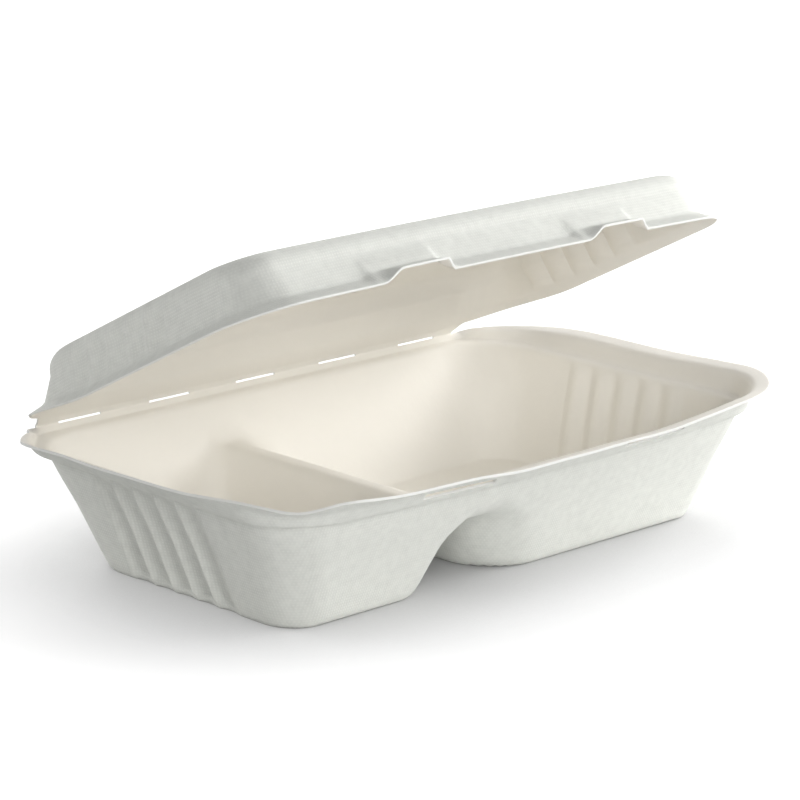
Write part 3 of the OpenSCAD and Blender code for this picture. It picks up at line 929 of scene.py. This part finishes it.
class CLAMSHELL_OT_fold(bpy.types.Operator):
    """Make the thin lands between the slots of the fold"""

    bl_idname = "clamshell.fold"
    bl_label = "Fold"

    def execute(self, context):
        settings = context.scene.clamshell_pulp
        hinge = np.array([HINGE_REACH, HINGE_HEIGHT])
        down = np.array([-math.cos(TRAY_FOLD_SLOPE), -math.sin(TRAY_FOLD_SLOPE)])
        lid_slope = LID_FOLD_SLOPE + settings.open_angle
        up = np.array([-math.cos(lid_slope), math.sin(lid_slope)])
        steps = [down * s for s in LAND_STEPS]
        for t in np.linspace(0, 1, 11):
            steps.append((1 - t) ** 2 * LAND_BEND * down + t * t * LAND_BEND * up)
        steps += [up * s for s in reversed(LAND_STEPS)]
        section = np.array(steps) + hinge
        half_slot = SLOT_LENGTH / 2
        lap = LID_FOLD_HALF + 1
        slots = [(k - (SLOTS - 1) / 2) * SLOT_PITCH for k in range(SLOTS)]
        starts = [-lap] + [s + half_slot for s in slots]
        stops = [s - half_slot for s in slots] + [lap]
        lands = []
        for start, stop in zip(starts, stops):
            columns = max(3, round((stop - start) / LAND_GRID))
            bpy.ops.object.select_all(action="DESELECT")
            bpy.ops.mesh.primitive_grid_add(x_subdivisions=columns, y_subdivisions=len(section) - 1, size=1)
            land = bpy.context.active_object
            xs = np.linspace(start, stop, columns + 1)
            points = [(x * MM, y * MM, z * MM) for y, z in section for x in xs]
            land.data.vertices.foreach_set("co", np.array(points, dtype=np.float32).ravel())
            lands.append(land)
        bpy.ops.object.select_all(action="DESELECT")
        for land in lands:
            land.select_set(True)
        bpy.context.view_layer.objects.active = lands[0]
        bpy.ops.object.join()
        fold = bpy.context.active_object
        fold.name = "fold_lands"
        fold.data.name = "fold_lands"
        turn_over(fold)
        dress(fold, finish_colours(settings, "fold", 0.0))
        thicken(fold, 0.9 * settings.skin, 0, 0.5 * settings.edge_round)
        start = (hinge + BLEND_REACH * down) * MM
        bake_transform(fold)
        return {"FINISHED"}


# Soft lights in a low ring round the container: azimuth from +X, elevation, share of the power
SOFT_LIGHTS = {
    "front_left_light": (-120, 20, 0.136),
    "front_right_light": (-33, 20, 0.184),
    "right_light": (0, 20, 0.168),
    "back_right_light": (60, 20, 0.12),
    "back_left_light": (120, 20, 0.12),
    "high_light": (-30, 50, 0.058),
}
LIGHT_AIM = Vector((0, 0, 0.04))
# The floor: its colour under the lights and in the picture, where its glow starts to rise to full white and
# over what distance, and the reach of the occlusion that darkens the glow near the container. The lower
# glow near the container is a painted shadow.
FLOOR_COLOUR = 0.82
FLOOR_SEEN_COLOUR = 0.41
FLOOR_RISE_START = 0.2
FLOOR_RISE_LENGTH = 0.4
FLOOR_PAINTED_SHADOW_REACH = 0.07


def soft_light(name, azimuth, elevation, power, settings):
    """A round soft light that looks at the container."""
    turn, rise = math.radians(azimuth), math.radians(elevation)
    out = Vector((math.cos(rise) * math.cos(turn), math.cos(rise) * math.sin(turn), math.sin(rise)))
    bpy.ops.object.select_all(action="DESELECT")
    bpy.ops.object.light_add(type="AREA", location=LIGHT_AIM + settings.light_distance * out)
    lamp = bpy.context.active_object
    lamp.name = name
    lamp.data.shape = "DISK"
    lamp.data.size = settings.light_size
    lamp.data.energy = power
    lamp.rotation_euler = (-out).to_track_quat("-Z", "Y").to_euler()
    lamp.visible_camera = False


def white_floor_material(glow):
    """White floor that keeps the soft shadow of the lights and reads white further out, with a painted
    shadow round the container: its glow is lower near the container and darkened by ambient occlusion.
    """
    graph = Graph("white_floor")
    place = graph.node("ShaderNodeTexCoord")
    out = graph.node("ShaderNodeVectorMath", operation="LENGTH")
    graph.put(place.outputs["Object"], out.inputs[0])
    # Painted shadow: the glow is lower near the container and rises to full white from FLOOR_RISE_START
    # over FLOOR_RISE_LENGTH.
    past = graph.math("SUBTRACT", out.outputs["Value"], FLOOR_RISE_START)
    away = graph.math("DIVIDE", past, FLOOR_RISE_LENGTH, clamp=True)
    # Painted contact shadow: ambient occlusion darkens the glow next to the container.
    near = graph.node("ShaderNodeAmbientOcclusion", samples=16)
    near.inputs["Distance"].default_value = FLOOR_PAINTED_SHADOW_REACH
    lift = graph.math("MULTIPLY_ADD", away, 1.0 - glow)
    lift.node.inputs[2].default_value = glow
    lift = graph.math("MULTIPLY", lift, near.outputs["AO"])
    paths = graph.node("ShaderNodeLightPath")
    seen = graph.math("MAXIMUM", paths.outputs["Is Camera Ray"], paths.outputs["Is Glossy Ray"])
    seen = graph.math("MAXIMUM", seen, paths.outputs["Is Transmission Ray"])
    shader = graph.node("ShaderNodeBsdfPrincipled")
    dimming = graph.math("MULTIPLY", seen, FLOOR_COLOUR - FLOOR_SEEN_COLOUR)
    graph.put(graph.math("SUBTRACT", FLOOR_COLOUR, dimming), shader.inputs["Base Color"])
    shader.inputs["Roughness"].default_value = 0.95
    shader.inputs["Specular IOR Level"].default_value = 0.05
    shader.inputs["Emission Color"].default_value = (1, 1, 1, 1)
    graph.put(graph.math("MULTIPLY", seen, lift), shader.inputs["Emission Strength"])
    output = graph.node("ShaderNodeOutputMaterial")
    graph.tree.links.new(shader.outputs[0], output.inputs[0])
    return graph.material


class CLAMSHELL_OT_stage(bpy.types.Operator):
    """Set the floor, the soft lights, the sky and the camera"""

    bl_idname = "clamshell.stage"
    bl_label = "Stage"

    def execute(self, context):
        scene = context.scene
        settings = scene.clamshell_stage
        bpy.ops.object.select_all(action="DESELECT")
        bpy.ops.mesh.primitive_plane_add(size=12, location=(0, 0, 0))
        floor = bpy.context.active_object
        floor.name = "floor"
        floor.data.materials.append(white_floor_material(settings.floor_glow))
        for name, (azimuth, elevation, share) in SOFT_LIGHTS.items():
            soft_light(name, azimuth, elevation, share * settings.light_power, settings)
        world = scene.world or bpy.data.worlds.new("sky")
        scene.world = world
        world.use_nodes = True
        tree = world.node_tree
        tree.nodes.clear()
        paths = tree.nodes.new("ShaderNodeLightPath")
        seen = paths.outputs["Is Camera Ray"]
        for kind in ("Is Glossy Ray", "Is Transmission Ray"):
            both = tree.nodes.new("ShaderNodeMath")
            both.operation = "MAXIMUM"
            tree.links.new(seen, both.inputs[0])
            tree.links.new(paths.outputs[kind], both.inputs[1])
            seen = both.outputs[0]
        dim = tree.nodes.new("ShaderNodeBackground")
        dim.inputs["Color"].default_value = (1, 1, 1, 1)
        dim.inputs["Strength"].default_value = 0.0
        white = tree.nodes.new("ShaderNodeBackground")
        white.inputs["Color"].default_value = (1, 1, 1, 1)
        white.inputs["Strength"].default_value = 1.0
        either = tree.nodes.new("ShaderNodeMixShader")
        output = tree.nodes.new("ShaderNodeOutputWorld")
        tree.links.new(seen, either.inputs[0])
        tree.links.new(dim.outputs[0], either.inputs[1])
        tree.links.new(white.outputs[0], either.inputs[2])
        tree.links.new(either.outputs[0], output.inputs[0])
        camera = bpy.data.cameras.new("camera")
        camera.lens = settings.lens
        camera.sensor_width = 36
        camera.sensor_fit = "HORIZONTAL"
        camera.clip_end = 50
        holder = bpy.data.objects.new("camera", camera)
        holder.location = settings.camera_place
        holder.rotation_euler = Vector(settings.camera_aim).to_track_quat("-Z", "Y").to_euler()
        scene.collection.objects.link(holder)
        scene.camera = holder
        scene.view_settings.view_transform = "Standard"
        return {"FINISHED"}


class CLAMSHELL_PT_panel(bpy.types.Panel):
    """Panel with the steps of the model"""

    bl_label = "Pressed Pulp Clamshell"
    bl_idname = "CLAMSHELL_PT_panel"
    bl_space_type = "VIEW_3D"
    bl_region_type = "UI"
    bl_category = "Clamshell"

    def draw(self, context):
        pulp = context.scene.clamshell_pulp
        stage = context.scene.clamshell_stage
        for name in ("skin", "edge_round", "open_angle", "wire_pitch"):
            self.layout.prop(pulp, name)
        for name in ("outside_colour", "inside_colour", "edge_colour"):
            self.layout.prop(pulp, name)
        for step in ("tray", "lid", "fold"):
            self.layout.operator(f"clamshell.{step}")
        for name in ("camera_place", "camera_aim", "lens"):
            self.layout.prop(stage, name)
        for name in ("light_power", "light_distance", "light_size", "floor_glow"):
            self.layout.prop(stage, name)
        self.layout.operator("clamshell.stage")


CLASSES = (
    PulpSettings,
    StageSettings,
    CLAMSHELL_OT_tray,
    CLAMSHELL_OT_lid,
    CLAMSHELL_OT_fold,
    CLAMSHELL_OT_stage,
    CLAMSHELL_PT_panel,
)


def register():
    for item in CLASSES:
        bpy.utils.register_class(item)
    bpy.types.Scene.clamshell_pulp = bpy.props.PointerProperty(type=PulpSettings)
    bpy.types.Scene.clamshell_stage = bpy.props.PointerProperty(type=StageSettings)


def unregister():
    del bpy.types.Scene.clamshell_stage
    del bpy.types.Scene.clamshell_pulp
    for item in reversed(CLASSES):
        bpy.utils.unregister_class(item)


def main():
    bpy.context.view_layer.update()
    register()
    bpy.ops.clamshell.stage()
    bpy.ops.clamshell.tray()
    bpy.ops.clamshell.lid()
    bpy.ops.clamshell.fold()


if __name__ == "__main__":
    main()
